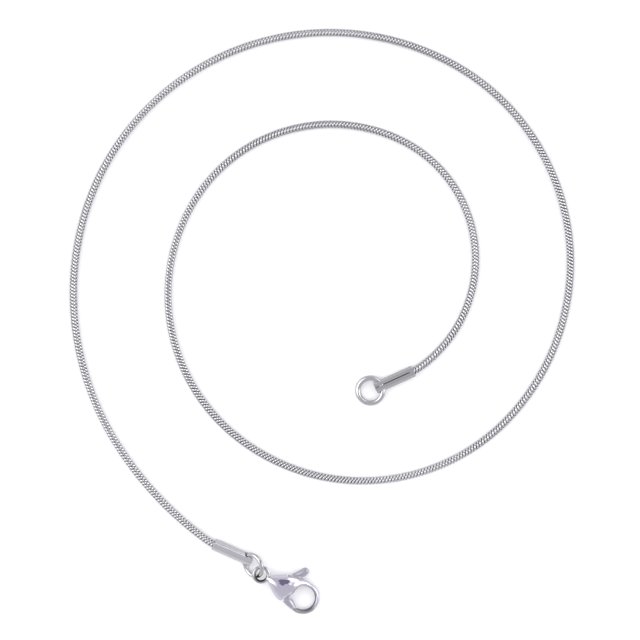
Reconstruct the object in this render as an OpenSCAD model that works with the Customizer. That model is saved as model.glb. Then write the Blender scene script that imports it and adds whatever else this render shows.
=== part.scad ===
// Snake chain necklace, laid open in an inward spiral on a flat surface.
// Millimetres, +Z up, origin on the surface below the middle of the outline.

/* [Chain] */
// Outer diameter of the chain
chain_d = 1.4; // [1.1:0.05:1.5]
// How far the chain reaches into each end tube
chain_insert = 4; // [2:0.5:5]

/* [End tubes] */
// Gap between the chain and the bore of an end tube
tube_fit = 0.065; // [0.05:0.005:0.15]
// Wall of an end tube
tube_wall = 0.28; // [0.25:0.01:0.38]
// Length of an end tube
tube_l = 7.5; // [7.2:0.1:10]
// Width of the clasp-end tube's seam, where its rolled sheet meets
clasp_seam_w = 0.09; // [0.06:0.01:0.15]
// Width of the ring-end tube's seam
ring_seam_w = 0.17; // [0.08:0.01:0.22]
// From a tube's open end to the middle of its cross-hole
hole_back = 1.15; // [1.05:0.05:1.5]
// Chamfer round the outer edge at both ends of a tube
tube_chamfer = 0.12; // [0.06:0.01:0.2]
// Gap round a ring's wire in a cross-hole
ring_fit = 0.1; // [0.06:0.01:0.14]

/* [Rings] */
// Outside diameter of the jump ring
jump_od = 4.86; // [4.7:0.02:5.4]
// Wire of the jump ring
jump_wire = 0.76; // [0.6:0.02:0.8]
// Outside diameter of the end ring
end_ring_od = 5.4; // [4.9:0.05:6.5]
// Wire of the end ring
end_ring_wire = 0.94; // [0.7:0.02:1]

/* [Clasp] */
// Length of the clasp over its eye and hook
clasp_l = 13.25; // [12.8:0.05:14.5]
// Width of the clasp's body, without the lever
clasp_w = 6; // [5.8:0.1:6.5]
// Thickness of the clasp's body
clasp_t = 3; // [2.8:0.1:3.6]
// Outside diameter of the eye
eye_od = 3.3; // [3.2:0.05:3.6]
// Hole of the eye
eye_hole = 1.95; // [1.85:0.05:2]
// Outside diameter of the hook
hook_od = 5.8; // [5.6:0.05:6]
// Width of the hook's bow
hook_bow = 0.8; // [0.6:0.05:1]
// Thickness of the hook's bow
hook_t = 1.1; // [0.8:0.05:1.4]

/* [Lever] */
// Thickness of the lever's plate inside the body's slot
plate_t = 1; // [0.8:0.05:1.1]
// Gap on each side of the plate in the slot
slot_fit = 0.08; // [0.05:0.01:0.12]
// Width across the lever's thumb piece
thumb_t = 1.6; // [1.2:0.05:2]
// Thickness of the gate where it shows
gate_t = 1.2; // [1:0.05:1.4]
// Gap between the gate's end and the hook's tip
gate_gap = 0.1; // [0.06:0.01:0.2]
// Diameter of the rivet that the lever turns on
pin_d = 0.8; // [0.6:0.05:1]
// Gap between the rivet and the lever
pin_fit = 0.05; // [0.03:0.01:0.08]
// Gap between the rivet and the body
pin_seat = 0.02; // [0.01:0.01:0.03]

/* [Hidden] */
$fn = 48;

// The chain's laid course: it leaves the clasp-end tube at this place and heading,
// and each row is the radius and clockwise sweep of one stretch
route_start = [-19.3, -39.7];
route_heading = 156.3;
route_arcs = [
    [7.4, 12.2], [61.1, 22.4], [50.4, 43.2], [45.6, 108.1], [40.4, 101.6],
    [36, 88.9], [32.3, 79.6], [28.6, 85.9], [23.6, 118.8], [7.3, 11.1]
];
// Rings of the swept chain between its two tubes
chain_rings = 75;
chain_sides = 8;
// Length over which the chain comes down from a tube to the surface
chain_ramp = 9;

tube_r = chain_d / 2 + tube_fit + tube_wall;
jump_r = (jump_od - jump_wire) / 2;
end_ring_r = (end_ring_od - end_ring_wire) / 2;

// Roll of the jump ring's cross-hole, up from level
hole_roll = 36.5;
// Seams, rolled from the top towards the tube's left
jump_seam = 28;
ring_seam = -4;
// The plain collar left at the chain end of the ring-end tube's seam
seam_collar = 0.8;
// How far a seam's cut reaches past a tube's end
cut_past = 1;
// How far round the jump ring the clasp's eye hangs from the tube
eye_round = 189;
// How far the ring's wire lies above the middle of the eye's hole
eye_hang = 0.2;
// How far the clasp has slid off from the ring's wire
eye_slack = 0.15;
// Turn of the clasp to the right of its tube
clasp_turn = 6.1;

hook_u = clasp_l - eye_od / 2 - hook_od / 2;
hook_mid = hook_od / 2 - hook_bow / 2;
half_w = clasp_w / 2;
half_t = clasp_t / 2;

// Sections of the clasp's body from the neck to the hook: the outer edge along and
// across, the inner edge along and across, and the thickness. Lengths along are
// shares of hook_u, lengths across of half_w, thicknesses of half_t.
body_rows = [
    [0.122, 0.170, 0.122, -0.163, 0.21],
    [0.181, 0.227, 0.174, -0.186, 0.37],
    [0.265, 0.376, 0.238, -0.305, 0.60],
    [0.371, 0.560, 0.331, -0.475, 0.80],
    [0.472, 0.746, 0.430, -0.661, 0.95],
    [0.552, 0.864, 0.523, -0.770, 1.00],
    [0.628, 0.936, 0.610, -0.807, 0.98],
    [0.692, 0.973, 0.686, -0.549, 0.92],
    [0.750, 0.997, 0.742, -0.254, 0.81],
    [0.797, 1.003, 0.756, 0.034, 0.70],
    [0.837, 1.007, 0.779, 0.288, 0.60],
    [0.884, 1.007, 0.820, 0.492, 0.50],
    [0.924, 1.000, 0.884, 0.627, 0.44]
];
hook_angles = [95, 72, 48, 24, 0, -24, -48, -72, -92, -110];
tip_angle = -102;
body_sides = 20;

// The same five columns for the lever's thumb piece and for the gate, whose
// thicknesses are shares of half of thumb_t and half of gate_t
thumb_rows = [
    [0.576, 0.797, 0.733, 0.797, 0.60],
    [0.556, 0.932, 0.767, 1.034, 0.61],
    [0.595, 1.085, 0.797, 1.119, 0.78],
    [0.645, 1.305, 0.821, 1.254, 0.95],
    [0.688, 1.525, 0.836, 1.407, 1.00],
    [0.721, 1.637, 0.831, 1.525, 0.88],
    [0.756, 1.668, 0.808, 1.610, 0.50]
];
gate_rows = [
    [0.731, -0.478, 0.674, -0.770, 0.80],
    [0.756, -0.380, 0.715, -0.822, 0.92],
    [0.820, -0.407, 0.780, -0.876, 1.00],
    [0.884, -0.508, 0.849, -0.917, 0.97],
    [0.930, -0.627, 0.902, -0.951, 0.93],
    [0.970, -0.712, 0.940, -0.970, 0.90]
];
edge_sides = 14;

// Where the lever turns, and the outlines of its plate and of the slot that the
// plate swings in, in the same shares
pivot = [0.616 * hook_u, 0.407 * half_w];
hub_r = 0.85;
hub_gap = 0.12;
arm_shape = [
    [0.549, 0.305], [0.653, -0.475], [0.684, -0.700], [0.767, -0.780],
    [0.802, -0.458], [0.733, -0.339], [0.712, 0.339]
];
root_shape = [
    [0.552, 0.576], [0.576, 0.850], [0.562, 0.915], [0.750, 1.010], [0.709, 0.475]
];
gate_slot = [
    [0.535, 0.290], [0.638, -0.480], [0.622, -0.900], [0.884, -0.850],
    [0.884, 0.203], [0.721, 0.458]
];
thumb_slot = [
    [0.727, 0.458], [0.779, 1.153], [0.372, 1.153], [0.383, 0.848], [0.522, 0.586]
];

// Places along the laid chain
function degrees_of(length, r) = length / r * 180 / PI;
function swing(p, h, r, a) = p + r * [sin(h) - sin(h - a), cos(h - a) - cos(h)];
function stretches(k = 0, p = route_start, h = route_heading, s = 0) =
    k == len(route_arcs)
    ? [[p, h, s]]
    : let (r = route_arcs[k][0], a = route_arcs[k][1])
      concat([[p, h, s]], stretches(k + 1, swing(p, h, r, a), h - a, s + r * a * PI / 180));
starts = stretches();
route_end = starts[len(route_arcs)];
chain_l = route_end[2];
function stretch_at(s, k = 0) =
    k == len(route_arcs) - 1 || s <= starts[k + 1][2] ? k : stretch_at(s, k + 1);
function ahead(p, h, s) = p + s * [cos(h), sin(h)];
function place(s) =
    s < 0 ? [ahead(route_start, route_heading, s), route_heading]
    : s > chain_l ? [ahead(route_end[0], route_end[1], s - chain_l), route_end[1]]
    : let (k = stretch_at(s), r = route_arcs[k][0], a = degrees_of(s - starts[k][2], r))
      [swing(starts[k][0], starts[k][1], r, a), starts[k][1] - a];
function ease(x) = let (t = max(0, min(1, x))) t * t * (3 - 2 * t);
function chain_z(s) =
    chain_d / 2 + (tube_r - chain_d / 2) * (1 - ease(min(s, chain_l - s) / chain_ramp));

// Rings of points joined into one closed skin
function skin_faces(rings, sides) = concat(
    [[for (k = [0:sides - 1]) k]],
    [for (i = [0:rings - 2]) for (k = [0:sides - 1])
        let (a = i * sides + k, b = i * sides + (k + 1) % sides)
        [a, a + sides, b + sides, b]],
    [[for (k = [sides - 1:-1:0]) (rings - 1) * sides + k]]
);
module skin(rings) {
    sides = len(rings[0]);
    polyhedron(
        points = [for (ring = rings) for (p = ring) p],
        faces = skin_faces(len(rings), sides)
    );
}

// Sections of a shape that is flat on its middle plane: rows in real lengths,
// smoothed between rows, and closed as ovals
function sized(rows, t) = [
    for (q = rows) [q[0] * hook_u, q[1] * half_w, q[2] * hook_u, q[3] * half_w, q[4] * t]
];
function curve(a, b, c, d, t) =
    0.5 * (2 * b + (c - a) * t + (2 * a - 5 * b + 4 * c - d) * t * t
    + (3 * b - a - 3 * c + d) * t * t * t);
function smooth(rows, steps) = let (last = len(rows) - 1) concat(
    [for (i = [0:last - 1]) for (j = [0:steps - 1])
        curve(rows[max(i - 1, 0)], rows[i], rows[i + 1], rows[min(i + 2, last)], j / steps)],
    [rows[last]]
);
function oval(q, sides) = [
    for (k = [0:sides - 1]) let (c = cos(k * 360 / sides), s = sin(k * 360 / sides)) [
        (q[0] + q[2]) / 2 + (q[0] - q[2]) / 2 * c,
        (q[1] + q[3]) / 2 + (q[1] - q[3]) / 2 * c,
        q[4] * s
    ]
];
function ovals(rows, steps, sides) = [for (q = smooth(rows, steps)) oval(q, sides)];
function bow_row(a) = let (o = hook_od / 2, i = o - hook_bow)
    [hook_u + o * cos(a), o * sin(a), hook_u + i * cos(a), i * sin(a), hook_t / 2];
body_rings = ovals(
    concat(sized(body_rows, half_t), [for (a = hook_angles) bow_row(a)]), 3, body_sides
);
function spread(shape) = [for (p = shape) [p[0] * hook_u, p[1] * half_w]];

// How the clasp lies: on its belly and on the far side of its hook
belly_u = body_rows[5][0] * hook_u;
clasp_tilt = atan((half_t - hook_t / 2) / (hook_u + hook_mid - belly_u));
eye_z = -min([for (ring = body_rings) for (p = ring) p[2] * cos(clasp_tilt) - p[0] * sin(clasp_tilt)]);

// How the jump ring leans so that it passes through both the cross-hole and the eye
hole_r = jump_wire / 2 + tube_r * tube_r / (4 * jump_r) + ring_fit;
end_hole_r = end_ring_wire / 2 + tube_r * tube_r / (4 * end_ring_r) + ring_fit;
jump_x = tube_l - hole_back - tube_r * tube_r / (4 * jump_r);
end_x = tube_l - hole_back - tube_r * tube_r / (4 * end_ring_r);
jump_pitch = asin(
    ((eye_z + eye_hang - tube_r) / jump_r - sin(eye_round) * sin(hole_roll))
    / ((1 - cos(eye_round)) * cos(hole_roll))
);
end_lean = asin((tube_r - end_ring_wire / 2) / (2 * end_ring_r));
eye_x = jump_x + jump_r * (1 - cos(eye_round)) * cos(jump_pitch);
eye_y = -jump_r * (1 - cos(eye_round)) * sin(jump_pitch) * sin(hole_roll)
    + jump_r * sin(eye_round) * cos(hole_roll);
tube_heading = route_heading + 180;
gate_end = norm([hook_u, 0] + hook_mid * [cos(tip_angle), sin(tip_angle)] - pivot);

// Puts a child from a tube's own frame, mouth at its zero and ring end along +X
module at_clasp_tube() {
    translate([route_start[0], route_start[1], tube_r])
        rotate([0, 0, tube_heading])
            children();
}
module at_ring_tube() {
    translate([route_end[0][0], route_end[0][1], tube_r])
        rotate([0, 0, route_end[1]])
            children();
}
// Puts a child from the clasp's own frame, eye at its zero and hook along +X
module at_clasp() {
    at_clasp_tube()
        translate([eye_x, eye_y, eye_z - tube_r] + eye_slack * [cos(clasp_turn), -sin(clasp_turn), 0])
            rotate([0, clasp_tilt, -clasp_turn])
                children();
}

module end_tube(cross_r, roll, seam_w, seam_turn, seam_from, seam_to) {
    bore_r = tube_r - tube_wall;
    difference() {
        rotate([0, 90, 0])
            rotate_extrude()
                polygon([
                    [bore_r, 0], [tube_r - tube_chamfer, 0], [tube_r, tube_chamfer],
                    [tube_r, tube_l - tube_chamfer], [tube_r - tube_chamfer, tube_l],
                    [bore_r, tube_l]
                ]);
        translate([tube_l - hole_back, 0, 0])
            rotate([roll - 90, 0, 0])
                cylinder(h = 4 * tube_r, r = cross_r, center = true);
        rotate([-seam_turn, 0, 0])
            translate([seam_from, -seam_w / 2, 0])
                cube([seam_to - seam_from, seam_w, 2 * tube_r]);
    }
}

module ring(r, wire) {
    rotate_extrude()
        translate([r, 0])
            circle(r = wire / 2);
}

module snake_chain() {
    spots = concat(
        [-chain_insert],
        [for (k = [0:chain_rings]) k * chain_l / chain_rings],
        [chain_l + chain_insert]
    );
    rings = [
        for (s = spots) let (at = place(s), z = chain_z(s)) [
            for (k = [0:chain_sides - 1]) let (a = k * 360 / chain_sides) [
                at[0][0] - sin(at[1]) * chain_d / 2 * cos(a),
                at[0][1] + cos(at[1]) * chain_d / 2 * cos(a),
                z + chain_d / 2 * sin(a)
            ]
        ]
    ];
    color("silver")
        skin(rings);
}

module clasp_end_tube() {
    color("gainsboro")
        at_clasp_tube()
            end_tube(hole_r, hole_roll, clasp_seam_w, jump_seam, -cut_past, tube_l - hole_back);
}

module ring_end_tube() {
    color("gainsboro")
        at_ring_tube()
            end_tube(end_hole_r, 0, ring_seam_w, ring_seam, seam_collar, tube_l + cut_past);
}

module jump_ring() {
    color("lightgray")
        at_clasp_tube()
            translate([jump_x, 0, 0])
                rotate([hole_roll, 0, 0])
                    rotate([0, -jump_pitch, 0])
                        translate([jump_r, 0, 0])
                            ring(jump_r, jump_wire);
}

module end_ring() {
    color("lightgray")
        at_ring_tube()
            translate([end_x, 0, 0])
                rotate([0, end_lean, 0])
                    translate([end_ring_r, 0, 0])
                        ring(end_ring_r, end_ring_wire);
}

module slot_shape() {
    translate(pivot)
        circle(r = hub_r + hub_gap);
    polygon(spread(gate_slot));
    polygon(spread(thumb_slot));
}

// The wedge of the hook's tip that the gate's end swings past
module tip_cut() {
    intersection() {
        translate([pivot[0], pivot[1], -clasp_t])
            cylinder(h = 2 * clasp_t, r = gate_end + gate_gap, $fn = 96);
        translate([hook_u - hook_od / 2, -hook_od, -clasp_t])
            cube([hook_od / 2, hook_od / 2 + hook_od / 4, 2 * clasp_t]);
    }
}

module clasp_body() {
    eye_r = (eye_od + eye_hole) / 4;
    color("silver")
        at_clasp()
            difference() {
                union() {
                    skin(body_rings);
                    ring(eye_r, (eye_od - eye_hole) / 2);
                }
                translate([0, 0, -plate_t / 2 - slot_fit])
                    linear_extrude(height = plate_t + 2 * slot_fit)
                        slot_shape();
                translate([pivot[0], pivot[1], -clasp_t])
                    cylinder(h = 2 * clasp_t, r = pin_d / 2 + pin_seat);
                tip_cut();
            }
}

module clasp_pin() {
    color("gainsboro")
        at_clasp()
            intersection() {
                skin(body_rings);
                translate([pivot[0], pivot[1], -clasp_t])
                    cylinder(h = 2 * clasp_t, r = pin_d / 2);
            }
}

module clasp_lever() {
    color("darkgray")
        at_clasp()
            difference() {
                union() {
                    translate([0, 0, -plate_t / 2])
                        linear_extrude(height = plate_t) {
                            translate(pivot)
                                circle(r = hub_r);
                            polygon(spread(arm_shape));
                            polygon(spread(root_shape));
                        }
                    skin(ovals(sized(thumb_rows, thumb_t / 2), 3, edge_sides));
                    intersection() {
                        skin(ovals(sized(gate_rows, gate_t / 2), 3, edge_sides));
                        translate([pivot[0], pivot[1], -clasp_t])
                            cylinder(h = 2 * clasp_t, r = gate_end, $fn = 96);
                    }
                }
                translate([pivot[0], pivot[1], -clasp_t])
                    cylinder(h = 2 * clasp_t, r = pin_d / 2 + pin_fit);
            }
}

snake_chain();
clasp_end_tube();
ring_end_tube();
jump_ring();
end_ring();
clasp_body();
clasp_pin();
clasp_lever();
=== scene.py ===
# %% [markdown]
# A snake chain necklace, laid open in a spiral, with a lobster clasp and an end ring.
# The solids come packed and ready, in metres, with +Z up. This lesson dresses them:
# about 1400 fine band links take the place of the plain tube that stands for the
# chain, the castings get the soft edges that polishing leaves, and every surface
# gets its own finish. The frame is loaded first, because each piece is placed by it.

# %% Load the frame
import math

import bmesh
import bpy
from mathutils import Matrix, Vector


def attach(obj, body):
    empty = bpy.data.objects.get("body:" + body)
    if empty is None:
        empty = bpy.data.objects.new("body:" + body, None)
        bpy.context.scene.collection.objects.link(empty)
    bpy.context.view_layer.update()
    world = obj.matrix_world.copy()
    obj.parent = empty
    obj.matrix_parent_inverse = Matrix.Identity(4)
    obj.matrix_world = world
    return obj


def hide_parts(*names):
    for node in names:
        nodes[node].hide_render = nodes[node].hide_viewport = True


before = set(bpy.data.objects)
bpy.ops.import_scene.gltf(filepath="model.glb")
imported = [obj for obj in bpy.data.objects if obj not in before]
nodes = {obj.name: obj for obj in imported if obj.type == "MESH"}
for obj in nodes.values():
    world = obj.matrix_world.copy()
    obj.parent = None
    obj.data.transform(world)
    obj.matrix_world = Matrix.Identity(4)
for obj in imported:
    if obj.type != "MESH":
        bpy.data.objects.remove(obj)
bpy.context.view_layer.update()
MM = 0.001
print("nodes:", sorted(nodes))

# %% [markdown]
# The photo looks straight down on the necklace. A camera half a metre up with a
# narrow view does the same, and at that distance a clasp 3 mm tall hardly leans.
# The scale of the picture, 0.1786 mm a pixel over 640 pixels, sets the view's width.

# %% The camera
PIXEL = 0.1786 * MM
PHOTO_SIDE = 640
CAMERA_HEIGHT = 0.5
CAMERA_OVER = (-0.352 * MM, 0.221 * MM)
NEAREST_SEEN = 10 * MM

lens = bpy.data.cameras.new("camera_above")
lens.sensor_fit = "HORIZONTAL"
lens.angle = 2 * math.atan(PHOTO_SIDE * PIXEL / 2 / CAMERA_HEIGHT)
lens.clip_start = NEAREST_SEEN
camera = bpy.data.objects.new("camera_above", lens)
camera.location = (*CAMERA_OVER, CAMERA_HEIGHT)
bpy.context.scene.collection.objects.link(camera)
bpy.context.scene.camera = camera
print("view width, mm:", round(PHOTO_SIDE * PIXEL / MM, 1))

# %% [markdown]
# Colours are chosen as the sRGB hex values that a picture editor shows. Blender
# works in linear light, so one function turns them. Another adds a node to a
# material with its settings and its links in one call, which keeps each material
# short enough to read as a recipe.

# %% Two helpers for materials
def linear(hex_colour):
    parts = [int(hex_colour[i:i + 2], 16) / 255 for i in (1, 3, 5)]
    return [c / 12.92 if c <= 0.04045 else ((c + 0.055) / 1.055) ** 2.4 for c in parts] + [1.0]


def add(tree, kind, inputs=(), **settings):
    made = tree.nodes.new(kind)
    for name, value in settings.items():
        setattr(made, name, value)
    for name, value in dict(inputs).items():
        if isinstance(value, bpy.types.NodeSocket):
            tree.links.new(value, made.inputs[name])
        else:
            made.inputs[name].default_value = value
    return made


# %% [markdown]
# Stainless steel is a metal, so its colour is the colour of its reflections, and it
# keeps the default IOR. What sets one steel surface from another is how it was
# finished, so every finish below is one recipe with its own tint, gloss and grain.
# The real grain is a few hundredths of a millimetre or less, finer than the picture
# can show, so it is drawn at about a tenth of a millimetre. A slow cloud between
# two close tints keeps a plain surface from looking painted.

# %% Steel, finished in several ways
CLOUD_MM = 2.5


def steel(name, tint, dark_tint, rough, rough_spread, grain_mm, depth_mm):
    material = bpy.data.materials.new(name)
    material.use_nodes = True
    tree = material.node_tree
    tree.nodes.clear()
    place = add(tree, "ShaderNodeTexCoord").outputs["Object"]
    grain = add(tree, "ShaderNodeTexNoise", {
        "Vector": place, "Scale": 1 / (grain_mm * MM), "Detail": 3.0, "Roughness": 0.55})
    cloud = add(tree, "ShaderNodeTexNoise", {"Vector": place, "Scale": 1 / (CLOUD_MM * MM), "Detail": 2.0})
    shade = add(tree, "ShaderNodeMix", {
        "Factor": cloud.outputs["Fac"], "A": linear(dark_tint), "B": linear(tint)}, data_type="RGBA")
    gloss = add(tree, "ShaderNodeMapRange", {
        "Value": grain.outputs["Fac"], "To Min": rough - rough_spread, "To Max": rough + rough_spread})
    bump = add(tree, "ShaderNodeBump", {
        "Height": grain.outputs["Fac"], "Strength": 1.0, "Distance": depth_mm * MM})
    shader = add(tree, "ShaderNodeBsdfPrincipled", {
        "Base Color": shade.outputs["Result"], "Metallic": 1.0,
        "Roughness": gloss.outputs["Result"], "Normal": bump.outputs["Normal"]})
    add(tree, "ShaderNodeOutputMaterial", {"Surface": shader.outputs["BSDF"]})
    return material


# Tumbled in a barrel of steel shot: bright, with a soft sparkle on every scale
tumbled_links = steel("tumbled stainless steel links", "#EEEEF0", "#E2E2E5", 0.22, 0.05, 0.12, 0.0006)
# Cold-rolled, then curled into a tube: an even grain and a long soft highlight
rolled_sheet = steel("rolled stainless steel sheet", "#E0DFE2", "#D4D3D7", 0.24, 0.06, 0.10, 0.0012)
# The same sheet, greyer and flatter in tone: a darker copy of it, painted shade for the tube at the ring's
# end
greyer_sheet = steel("greyer stainless steel sheet", "#CCCCCD", "#BFBFC1", 0.2, 0.06, 0.10, 0.0012)
# Drawn through a die and closed into a ring: smooth, with narrow highlights
drawn_wire = steel("drawn stainless steel wire", "#D4D4D6", "#CACACC", 0.16, 0.05, 0.15, 0.0010)
# Cast, then polished on a wheel: almost a mirror, with slow ripples. Its lavender tint is a painted
# reflection of a lavender-grey tent roof
polished_casting = steel("polished stainless steel casting", "#E8E5F2", "#E0DDEA", 0.07, 0.03, 0.6, 0.0016)
# Cast, then blasted with fine beads: satin, so that it spreads what the body mirrors
blasted_lever = steel("satin stainless steel casting", "#C8C6D0", "#BCBAC4", 0.42, 0.05, 0.12, 0.0020)
print("finishes:", [m.name for m in bpy.data.materials])

# %% [markdown]
# The casting is painted darker and duller in places: at the hook's far end, inside
# the hook, over the eye and, nearly black, inside the eye's hole. This is painted
# shade, standing for the shade that falls in those places. The gaps between the
# chain's links and the inner side of its bands are painted darker than its scales,
# which is painted shade in the hollows between them. Each is a mask that blends
# another tint and roughness into the finish. A place on the casting is an ellipse
# round a point of the piece. The links carry their own depth as an attribute of
# their mesh. A mask painted by hand would also do, but it would be lost whenever
# the shape changes.

# %% Painted shade in hollows, blended into a finish
def blend_in(material, factor, hex_colour, rough):
    tree = material.node_tree
    shader = next(node for node in tree.nodes if node.bl_idname == "ShaderNodeBsdfPrincipled")
    tint = shader.inputs["Base Color"].links[0].from_socket
    gloss = shader.inputs["Roughness"].links[0].from_socket
    tinted = add(tree, "ShaderNodeMix", {
        "Factor": factor, "A": tint, "B": linear(hex_colour)}, data_type="RGBA")
    duller = add(tree, "ShaderNodeMix", {"Factor": factor, "A": gloss, "B": rough})
    tree.links.new(tinted.outputs["Result"], shader.inputs["Base Color"])
    tree.links.new(duller.outputs["Result"], shader.inputs["Roughness"])


def spot(material, centre_mm, radii_mm, full, none):
    tree = material.node_tree
    place = add(tree, "ShaderNodeTexCoord").outputs["Object"]
    scale = [1 / (radius * MM) for radius in radii_mm]
    shift = [-middle * MM * share for middle, share in zip(centre_mm, scale)]
    laid = add(tree, "ShaderNodeMapping", {"Vector": place, "Location": (*shift, 0), "Scale": (*scale, 0)})
    away = add(tree, "ShaderNodeVectorMath", {0: laid.outputs["Vector"]}, operation="LENGTH")
    return add(tree, "ShaderNodeMapRange", {
        "Value": away.outputs["Value"], "From Min": full, "From Max": none, "To Min": 1.0, "To Max": 0.0},
        interpolation_type="SMOOTHSTEP").outputs["Result"]


# The mask of painted shade in the chain's gaps, taken from each point's depth
def gaps(material, shallow, deep):
    tree = material.node_tree
    depth = add(tree, "ShaderNodeAttribute", attribute_name="depth").outputs["Fac"]
    return add(tree, "ShaderNodeMapRange", {
        "Value": depth, "From Min": shallow, "From Max": deep}).outputs["Result"]


HOOK_END = (-3.3, -52.2)
HOOK_MIDDLE = (-3.25, -49.45)
EYE_MIDDLE = (-10.87, -45.23)
# Each place's centre and half sizes in mm, the shares of them at which it is full and gone, the tint of its
# painted shade, roughness
SHADED_DULL_PLACES = [
    (HOOK_END, (2.6, 1.4), 0.8, 1.15, "#B9B9BA", 0.32),
    (HOOK_MIDDLE, (2.1, 2.1), 1.03, 1.16, "#85848C", 0.3),
    (EYE_MIDDLE, (1, 1), 1.5, 1.8, "#C6C6C9", 0.25),
    (EYE_MIDDLE, (1, 1), 1.0, 1.25, "#3C3C40", 0.35),
]
GAP_FROM, GAP_FULL = 0.33, 0.93

# Painted shade: the chain's gaps and the inner side of its bands are tinted darker and rougher by their
# depth
blend_in(tumbled_links, gaps(tumbled_links, GAP_FROM, GAP_FULL), "#68686C", 0.35)
# Painted shade: the hook's end, the hook's inside and the eye are tinted darker on the polished casting
for centre, radii, full, none, tint, rough in SHADED_DULL_PLACES:
    blend_in(polished_casting, spot(polished_casting, centre, radii, full, none), tint, rough)
print("duller places on the casting:", len(SHADED_DULL_PLACES))

# %% [markdown]
# The chain's course is a row of arcs, each with its radius and its clockwise sweep,
# starting at the mouth of the clasp-end tube. Walking along them in short steps
# gives a smooth line for the links to follow. The chain comes out of each tube a
# little above the surface, at the height of the tube's middle, and ramps down.

# %% The chain's course
ROUTE_START = (-19.3 * MM, -39.7 * MM)
ROUTE_HEADING = 156.3
# Radius in mm and clockwise sweep in degrees
ROUTE_ARCS = [
    (7.4, 12.2), (61.1, 22.4), (50.4, 43.2), (45.6, 108.1), (40.4, 101.6),
    (36.0, 88.9), (32.3, 79.6), (28.6, 85.9), (23.6, 118.8), (7.3, 11.1),
]
CHAIN_RADIUS = 0.7 * MM
TUBE_RADIUS = 1.045 * MM
RAMP = 9 * MM
IN_TUBE = 1.2 * MM
STEP = 0.25 * MM


def walk_course():
    x, y = ROUTE_START
    heading = math.radians(ROUTE_HEADING)
    points = []
    for back in range(int(IN_TUBE / STEP), 0, -1):
        points.append((x - back * STEP * math.cos(heading), y - back * STEP * math.sin(heading)))
    first = len(points)
    for radius_mm, sweep in ROUTE_ARCS:
        radius = radius_mm * MM
        turn = math.radians(sweep)
        centre = (x + radius * math.sin(heading), y - radius * math.cos(heading))
        steps = max(2, round(radius * turn / STEP))
        for k in range(steps):
            now = heading - turn * k / steps
            points.append((centre[0] - radius * math.sin(now), centre[1] + radius * math.cos(now)))
        heading -= turn
        x, y = centre[0] - radius * math.sin(heading), centre[1] + radius * math.cos(heading)
    last = len(points)
    for ahead in range(int(IN_TUBE / STEP) + 1):
        points.append((x + ahead * STEP * math.cos(heading), y + ahead * STEP * math.sin(heading)))
    return points, first, last


def ease(t):
    t = max(0.0, min(1.0, t))
    return t * t * (3 - 2 * t)


course, first, last = walk_course()
lengths = [0.0]
for a, b in zip(course, course[1:]):
    lengths.append(lengths[-1] + math.dist(a, b))
free_from, free_to = lengths[first], lengths[last]
line = bpy.data.curves.new("chain_course", "CURVE")
line.dimensions = "3D"
spline = line.splines.new("POLY")
spline.points.add(len(course) - 1)
for point, (x, y), s in zip(spline.points, course, lengths):
    down = ease(min(s - free_from, free_to - s) / RAMP)
    point.co = (x, y, TUBE_RADIUS + (CHAIN_RADIUS - TUBE_RADIUS) * down, 1)
print("free chain, mm:", round((free_to - free_from) / MM, 1))

# %% [markdown]
# A laid chain is never free of twist, and its twist is what makes the columns of
# scales wander from one side to the other along the photo. It is a short table of
# angles, read from the photo, eased from one entry to the next and given to the
# line as its tilt. A slow random twist would look as lively, but it wouldn't be the
# twist of this chain.

# %% The chain's twist as it lies
# Along the free chain in mm, and how far a line between two columns of scales has turned to the left
TURNED = [
    (0, -30), (12, -23), (30, -9), (42, -23), (55, -45), (62, -45), (75, -32), (95, 3),
    (105, 16), (118, 18), (128, 24), (142, 50), (150, 50), (156, 40), (180, 60), (190, 55),
    (203, 46), (225, 45), (235, 72), (245, 78), (260, 60), (280, 58), (300, 75), (310, 90),
    (325, 102), (336, 118), (349, 127), (358, 142), (390, 142), (397, 122), (406, 118), (415, 132),
]
# From the middle of a scale to the line between two columns, in degrees
HALF_COLUMN = 45


def turned_at(along_mm):
    for (before, first_turn), (after, last_turn) in zip(TURNED, TURNED[1:]):
        if along_mm <= after:
            return first_turn + (last_turn - first_turn) * ease((along_mm - before) / (after - before))
    return TURNED[-1][1]


for point, s in zip(spline.points, lengths):
    point.tilt = math.radians(HALF_COLUMN - turned_at((s - free_from) / MM))
print("twist from end to end, degrees:", TURNED[-1][1] - TURNED[0][1])

# %% [markdown]
# A snake chain looks like a solid cord of scales, but each scale is part of a thin
# ring of sheet, bent into a wave so that it locks into its neighbours. Two waves
# run round each ring: it stands out and is wide where it makes a scale, and dips in
# and narrows where its neighbour makes one. The next link is the same one, turned a
# quarter, at almost the same station, so that its scales fill the first one's dips.
# Every point also carries its depth, which sets the painted shade in the
# gaps. One small mesh, made by that rule, is all that the chain needs.

# %% One band link
PITCH = 0.585 * MM
BAND_RADIUS = 0.615 * MM
BAND_FLARE = 0.08 * MM
BAND_WAVE = 0.17 * MM
BAND_WIDTH = 0.27 * MM
BAND_WIDENS = 0.5
BAND_THICK = 0.11 * MM
BAND_STEPS = 16
# The band's cross-section: across as a share of its width, and in as a share of its thickness
BAND_PROFILE = [(-0.5, 0.45), (-0.22, 0.0), (0.22, 0.0), (0.5, 0.45), (0.46, 1.0), (-0.46, 1.0)]
# How much the band's inner side and its dips count as depth, and so as painted shade
DEPTH_INSIDE = 0.3
DEPTH_DIP = 1.1


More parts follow.
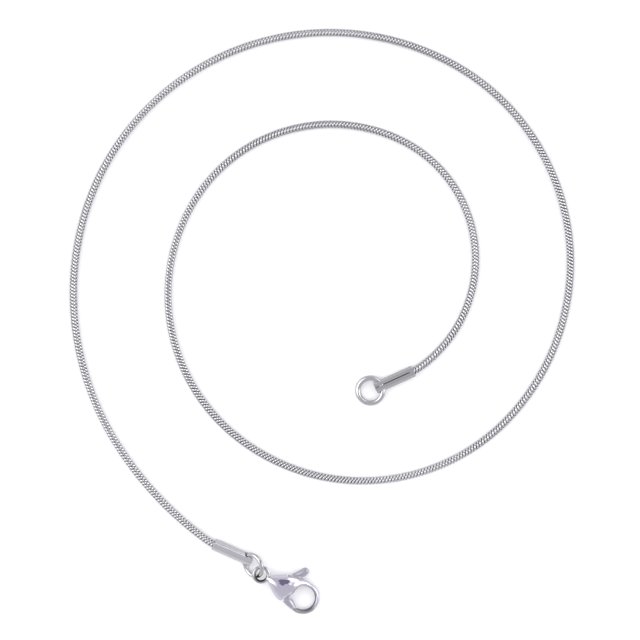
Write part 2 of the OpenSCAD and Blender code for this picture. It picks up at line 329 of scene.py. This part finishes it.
def band_link():
    mesh = bpy.data.meshes.new("band_link")
    points = []
    depths = []
    for k in range(BAND_STEPS):
        angle = 2 * math.pi * k / BAND_STEPS
        dip = (1 - math.cos(2 * angle)) / 2
        out = BAND_RADIUS + BAND_FLARE * math.cos(2 * angle)
        along = -BAND_WAVE * math.sin(2 * angle)
        width = BAND_WIDTH * (1 + BAND_WIDENS * math.cos(2 * angle))
        for across, inward in BAND_PROFILE:
            r = out - inward * BAND_THICK
            points.append((r * math.cos(angle), r * math.sin(angle), along + across * width))
            depths.append(DEPTH_INSIDE * inward + DEPTH_DIP * dip)
    n = len(BAND_PROFILE)
    faces = []
    for k in range(BAND_STEPS):
        nxt = (k + 1) % BAND_STEPS
        for j in range(n):
            i = (j + 1) % n
            faces.append((k * n + j, nxt * n + j, nxt * n + i, k * n + i))
    mesh.from_pydata(points, [], faces)
    mesh.polygons.foreach_set("use_smooth", [True] * len(faces))
    mesh.attributes.new("depth", "FLOAT", "POINT").data.foreach_set("value", depths)
    return mesh


link = bpy.data.objects.new("band_link", band_link())
bm = bmesh.new()
bm.from_mesh(link.data)
bmesh.ops.recalc_face_normals(bm, faces=bm.faces)
bm.to_mesh(link.data)
bm.free()
print("faces in one link:", len(link.data.polygons))

# %% [markdown]
# Geometry Nodes thread the link onto the course. The line is resampled every pitch,
# a link is placed on every point with its axis along the line, and each one is
# rolled about that axis by the line's tilt. The same tree is used twice, once for
# the links that stand upright and once for those turned a quarter, which start a
# small share of a pitch later.

# %% The tree that threads the links
def socket(group, name, kind, value=None):
    made = group.interface.new_socket(name, in_out="INPUT", socket_type=kind)
    if value is not None:
        made.default_value = value
    return made.identifier


def link_tree():
    group = bpy.data.node_groups.new("links_along_a_course", "GeometryNodeTree")
    names = {
        "course": socket(group, "Course", "NodeSocketGeometry"),
        "link": socket(group, "Link", "NodeSocketObject"),
        "pitch": socket(group, "Pitch", "NodeSocketFloat", PITCH),
        "start": socket(group, "Start", "NodeSocketFloat", 0.0),
        "end": socket(group, "End", "NodeSocketFloat", 1.0),
        "roll": socket(group, "Roll", "NodeSocketFloat", 0.0),
        "finish": socket(group, "Finish", "NodeSocketMaterial"),
    }
    group.interface.new_socket("Links", in_out="OUTPUT", socket_type="NodeSocketGeometry")
    given = add(group, "NodeGroupInput").outputs
    trimmed = add(group, "GeometryNodeTrimCurve", {
        "Curve": given["Course"], "Start_001": given["Start"], "End_001": given["End"]}, mode="LENGTH")
    spaced = add(group, "GeometryNodeResampleCurve", {
        "Curve": trimmed.outputs["Curve"], "Length": given["Pitch"]}, mode="LENGTH")
    stored = add(group, "GeometryNodeCaptureAttribute", {"Geometry": spaced.outputs["Curve"]})
    stored.capture_items.new("FLOAT", "Tilt")
    tilt = add(group, "GeometryNodeInputCurveTilt").outputs["Tilt"]
    group.links.new(tilt, stored.inputs["Tilt"])
    stations = add(group, "GeometryNodeCurveToPoints", {
        "Curve": stored.outputs["Geometry"]}, mode="EVALUATED")
    upright = add(group, "FunctionNodeAxesToRotation", {
        "Primary Axis": stations.outputs["Tangent"], "Secondary Axis": (0.0, 0.0, 1.0)},
        primary_axis="Z", secondary_axis="X")
    turned = add(group, "ShaderNodeMath", {0: stored.outputs["Tilt"], 1: given["Roll"]}, operation="ADD")
    spin = add(group, "FunctionNodeAxisAngleToRotation", {
        "Axis": (0.0, 0.0, 1.0), "Angle": turned.outputs["Value"]})
    rolled = add(group, "FunctionNodeRotateRotation", {
        "Rotation": upright.outputs["Rotation"], "Rotate By": spin.outputs["Rotation"]},
        rotation_space="LOCAL")
    shape = add(group, "GeometryNodeObjectInfo", {"Object": given["Link"]})
    placed = add(group, "GeometryNodeInstanceOnPoints", {
        "Points": stations.outputs["Points"], "Instance": shape.outputs["Geometry"],
        "Rotation": rolled.outputs["Rotation"]})
    real = add(group, "GeometryNodeRealizeInstances", {"Geometry": placed.outputs["Instances"]})
    finished = add(group, "GeometryNodeSetMaterial", {
        "Geometry": real.outputs["Geometry"], "Material": given["Finish"]})
    add(group, "NodeGroupOutput", {"Links": finished.outputs["Geometry"]})
    return group, names


links_along, sockets = link_tree()
print("inputs of the tree:", list(sockets))

# %% [markdown]
# The tree's result is turned into a plain mesh with new_from_object, because an
# exported model keeps neither curves nor instances. The helper below does that for
# any object with live modifiers, and leaves a new object at the origin.

# %% Thread both rows of links
# How far the crosswise links start behind the upright ones
CROSSWISE_START = 0.08 * PITCH


def to_plain_mesh(source, name):
    seen = source.evaluated_get(bpy.context.evaluated_depsgraph_get())
    mesh = bpy.data.meshes.new_from_object(seen)
    mesh.name = name
    mesh.polygons.foreach_set("use_smooth", [True] * len(mesh.polygons))
    made = bpy.data.objects.new(name, mesh)
    bpy.context.scene.collection.objects.link(made)
    bpy.data.objects.remove(source)
    return made


def thread_links(name, start, quarter_turn):
    holder = bpy.data.objects.new(name + "_course", line.copy())
    bpy.context.scene.collection.objects.link(holder)
    modifier = holder.modifiers.new("links", "NODES")
    modifier.node_group = links_along
    count = int((lengths[-1] - start) / PITCH)
    modifier[sockets["link"]] = link
    modifier[sockets["pitch"]] = PITCH
    modifier[sockets["start"]] = start
    modifier[sockets["end"]] = start + count * PITCH
    modifier[sockets["roll"]] = math.radians(quarter_turn)
    modifier[sockets["finish"]] = tumbled_links
    holder.update_tag()
    bpy.context.view_layer.update()
    made = to_plain_mesh(holder, name)
    faces = len(made.data.polygons)
    print(name, "faces:", faces, "links:", faces // len(link.data.polygons))
    return made


rows = [
    thread_links("chain_links_upright", 0, 0),
    thread_links("chain_links_crosswise", CROSSWISE_START, 90),
]
for row in rows:
    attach(row, "necklace")
    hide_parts("snake_chain")

# %% [markdown]
# A casting has no sharp edge: tumbling and polishing round them all. The packed
# solids of the clasp have the right form but crisp cuts, so a copy is merged,
# wrapped in a fine even mesh with a voxel remesh, and smoothed a little, which
# rounds every edge by about the size of a voxel. The rivet is wrapped in with the
# body, since its head is pressed flush, and the lever by itself, since it moves.
# Modelling each bevel by hand would be tidier, but on a form that curves both ways
# this is quicker.

# %% Castings with rounded edges
VOXEL = 0.055 * MM
MERGE = 0.0005 * MM


def soft_copy(parts, name, passes):
    mesh = bpy.data.meshes.new(name)
    merged = bmesh.new()
    for node in parts:
        merged.from_mesh(nodes[node].data)
    bmesh.ops.remove_doubles(merged, verts=merged.verts, dist=MERGE)
    bmesh.ops.recalc_face_normals(merged, faces=merged.faces)
    merged.to_mesh(mesh)
    merged.free()
    source = bpy.data.objects.new(name + "_source", mesh)
    bpy.context.scene.collection.objects.link(source)
    wrap = source.modifiers.new("wrap", "REMESH")
    wrap.mode = "VOXEL"
    wrap.voxel_size = VOXEL
    wrap.use_smooth_shade = True
    calm = source.modifiers.new("calm", "CORRECTIVE_SMOOTH")
    calm.smooth_type = "LENGTH_WEIGHTED"
    calm.iterations = passes
    calm.use_only_smooth = True
    bpy.context.view_layer.update()
    made = to_plain_mesh(source, name)
    print(name, "triangles:", sum(len(p.vertices) - 2 for p in made.data.polygons))
    return made


# The solids it stands for, its name, smoothing passes, finish, slot and body
castings = [
    (("clasp_body", "clasp_pin"), "clasp_casting", 14, polished_casting, "clasp_steel", "necklace"),
    (("clasp_lever",), "clasp_lever_casting", 12, blasted_lever, "lever_steel", "lever"),
]
for parts, name, passes, finish, slot_name, body in castings:
    piece = soft_copy(parts, name, passes)
    piece.data.materials.append(finish)
    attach(piece, body)
    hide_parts(*parts)

# %% [markdown]
# The rings and tubes keep their own solids, which already have the right shape, and
# only get their finish. The solids that finished pieces stand for get theirs too,
# so that they look right wherever they are shown.

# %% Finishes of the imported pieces
packed = {
    "jump_ring": drawn_wire,
    "end_ring": drawn_wire,
    "clasp_end_tube": rolled_sheet,
    # The ring-end tube gets the greyer copy of the sheet, which is painted shade
    "ring_end_tube": greyer_sheet,
    "clasp_pin": polished_casting,
    "snake_chain": tumbled_links,
    "clasp_body": polished_casting,
    "clasp_lever": blasted_lever,
}
for name, finish in packed.items():
    mesh = nodes[name].data
    mesh.materials.clear()
    mesh.materials.append(finish)
print("packed pieces with a finish:", len(packed))

# %% [markdown]
# Jewellery is photographed on white in a tent of white cloth, and polished steel
# shows all of it: the bright cloth at its sides, the darker hole above, where the
# camera looks in, and the lamps outside as bright places. A world that is a ramp by
# height, with three soft round patches, stands for the tent. The floor is a plain
# white sheet. It is hidden from reflections, because the clasp's outline would
# vanish against so white a floor, and the ramp's lower half stands in for it there.
# One small card over the clasp gives the dark spot that the photo has on its body.

# %% Floor, tent, card and lamp
FLOOR_SIDE = 3.0
CARD_SIDES = 24
# Share of the way from straight below to straight above, and the cloth's colour there
CLOTH = [
    (0.0, "#C9C9CB"), (1.0, "#BDBBC1"),
    (0.4, "#D7D7D9"), (0.5, "#E3E3E5"), (0.62, "#C7C6CA"), (0.8, "#BCBBC0"),
]
# Azimuth, elevation, full out to and gone at, in degrees, then colour and strength
PATCHES = [
    (172, 42, 11, 32, "#FFFFFF", 2.6),
    (8, 36, 10, 28, "#FFFFFF", 2.4),
    (58, 42, 7, 23, "#FFFAFF", 1.5),
]
TENT_STRENGTH = 1.2


def direction(azimuth, elevation):
    a = math.radians(azimuth)
    e = math.radians(elevation)
    return Vector((math.cos(a) * math.cos(e), math.sin(a) * math.cos(e), math.sin(e)))


def floor():
    mesh = bpy.data.meshes.new("floor")
    half = FLOOR_SIDE / 2
    mesh.from_pydata(
        [(-half, -half, 0), (half, -half, 0), (half, half, 0), (-half, half, 0)], [], [(0, 1, 2, 3)])
    made = bpy.data.objects.new("floor", mesh)
    bpy.context.scene.collection.objects.link(made)
    material = bpy.data.materials.new("white paper")
    material.use_nodes = True
    shader = material.node_tree.nodes["Principled BSDF"]
    shader.inputs["Base Color"].default_value = linear("#F3F3F4")
    shader.inputs["Roughness"].default_value = 0.9
    shader.inputs["Specular IOR Level"].default_value = 0.1
    mesh.materials.append(material)
    made.visible_glossy = False


def tent():
    world = bpy.data.worlds.new("white tent")
    world.use_nodes = True
    tree = world.node_tree
    tree.nodes.clear()
    ray = add(tree, "ShaderNodeTexCoord").outputs["Generated"]
    height = add(tree, "ShaderNodeSeparateXYZ", {"Vector": ray}).outputs["Z"]
    share = add(tree, "ShaderNodeMapRange", {"Value": height, "From Min": -1.0, "From Max": 1.0})
    cloth = add(tree, "ShaderNodeValToRGB", {"Fac": share.outputs["Result"]})
    stops = cloth.color_ramp.elements
    for stop, (place, hex_colour) in zip(stops, CLOTH):
        stop.position = place
        stop.color = linear(hex_colour)
    for place, hex_colour in CLOTH[2:]:
        stops.new(place).color = linear(hex_colour)
    light = cloth.outputs["Color"]
    for azimuth, elevation, core, rim, hex_colour, strength in PATCHES:
        near = add(tree, "ShaderNodeVectorMath", {
            0: ray, 1: direction(azimuth, elevation)}, operation="DOT_PRODUCT")
        inside = add(tree, "ShaderNodeMapRange", {
            "Value": near.outputs["Value"],
            "From Min": math.cos(math.radians(rim)), "From Max": math.cos(math.radians(core))},
            interpolation_type="SMOOTHSTEP")
        colour = [c * strength for c in linear(hex_colour)[:3]] + [1.0]
        light = add(tree, "ShaderNodeMix", {
            "Factor": inside.outputs["Result"], "A": light, "B": colour}, data_type="RGBA").outputs["Result"]
    glow = add(tree, "ShaderNodeBackground", {"Color": light, "Strength": TENT_STRENGTH})
    add(tree, "ShaderNodeOutputWorld", {"Surface": glow.outputs["Background"]})
    bpy.context.scene.world = world


def lamp(name, place, side, power):
    data = bpy.data.lights.new(name, "AREA")
    data.shape = "SQUARE"
    data.size = side
    data.energy = power
    made = bpy.data.objects.new(name, data)
    made.location = place
    made.rotation_euler = (-Vector(place)).to_track_quat("-Z", "Y").to_euler()
    made.visible_glossy = False
    bpy.context.scene.collection.objects.link(made)


def card(name, over_spot, azimuth, elevation, away, width, height, hex_colour):
    out = direction(azimuth, elevation)
    side = Vector((0.0, 0.0, 1.0)).cross(out).normalized() * width / 2
    rise = out.cross(side).normalized() * height / 2
    middle = Vector(over_spot) + out * away
    turns = [2 * math.pi * k / CARD_SIDES for k in range(CARD_SIDES)]
    rim = [middle + math.cos(t) * side + math.sin(t) * rise for t in turns]
    mesh = bpy.data.meshes.new(name)
    mesh.from_pydata(rim, [], [range(CARD_SIDES)])
    made = bpy.data.objects.new(name, mesh)
    bpy.context.scene.collection.objects.link(made)
    material = bpy.data.materials.new(name)
    material.use_nodes = True
    tree = material.node_tree
    tree.nodes.clear()
    paint = add(tree, "ShaderNodeEmission", {"Color": linear(hex_colour), "Strength": 1.0})
    add(tree, "ShaderNodeOutputMaterial", {"Surface": paint.outputs["Emission"]})
    mesh.materials.append(material)
    made.visible_camera = False
    made.visible_diffuse = False
    made.visible_shadow = False


floor()
tent()
card(
    "dark_card", over_spot=(-7.0 * MM, -46.6 * MM, 2.5 * MM), azimuth=68, elevation=58,
    away=12 * MM, width=8.5 * MM, height=13 * MM, hex_colour="#7C788C")
lamp("softbox_above", place=(0.0, -0.12, 0.6), side=0.5, power=1.35)
bpy.context.scene.view_settings.view_transform = "Standard"
print("lamps:", len(bpy.data.lights))
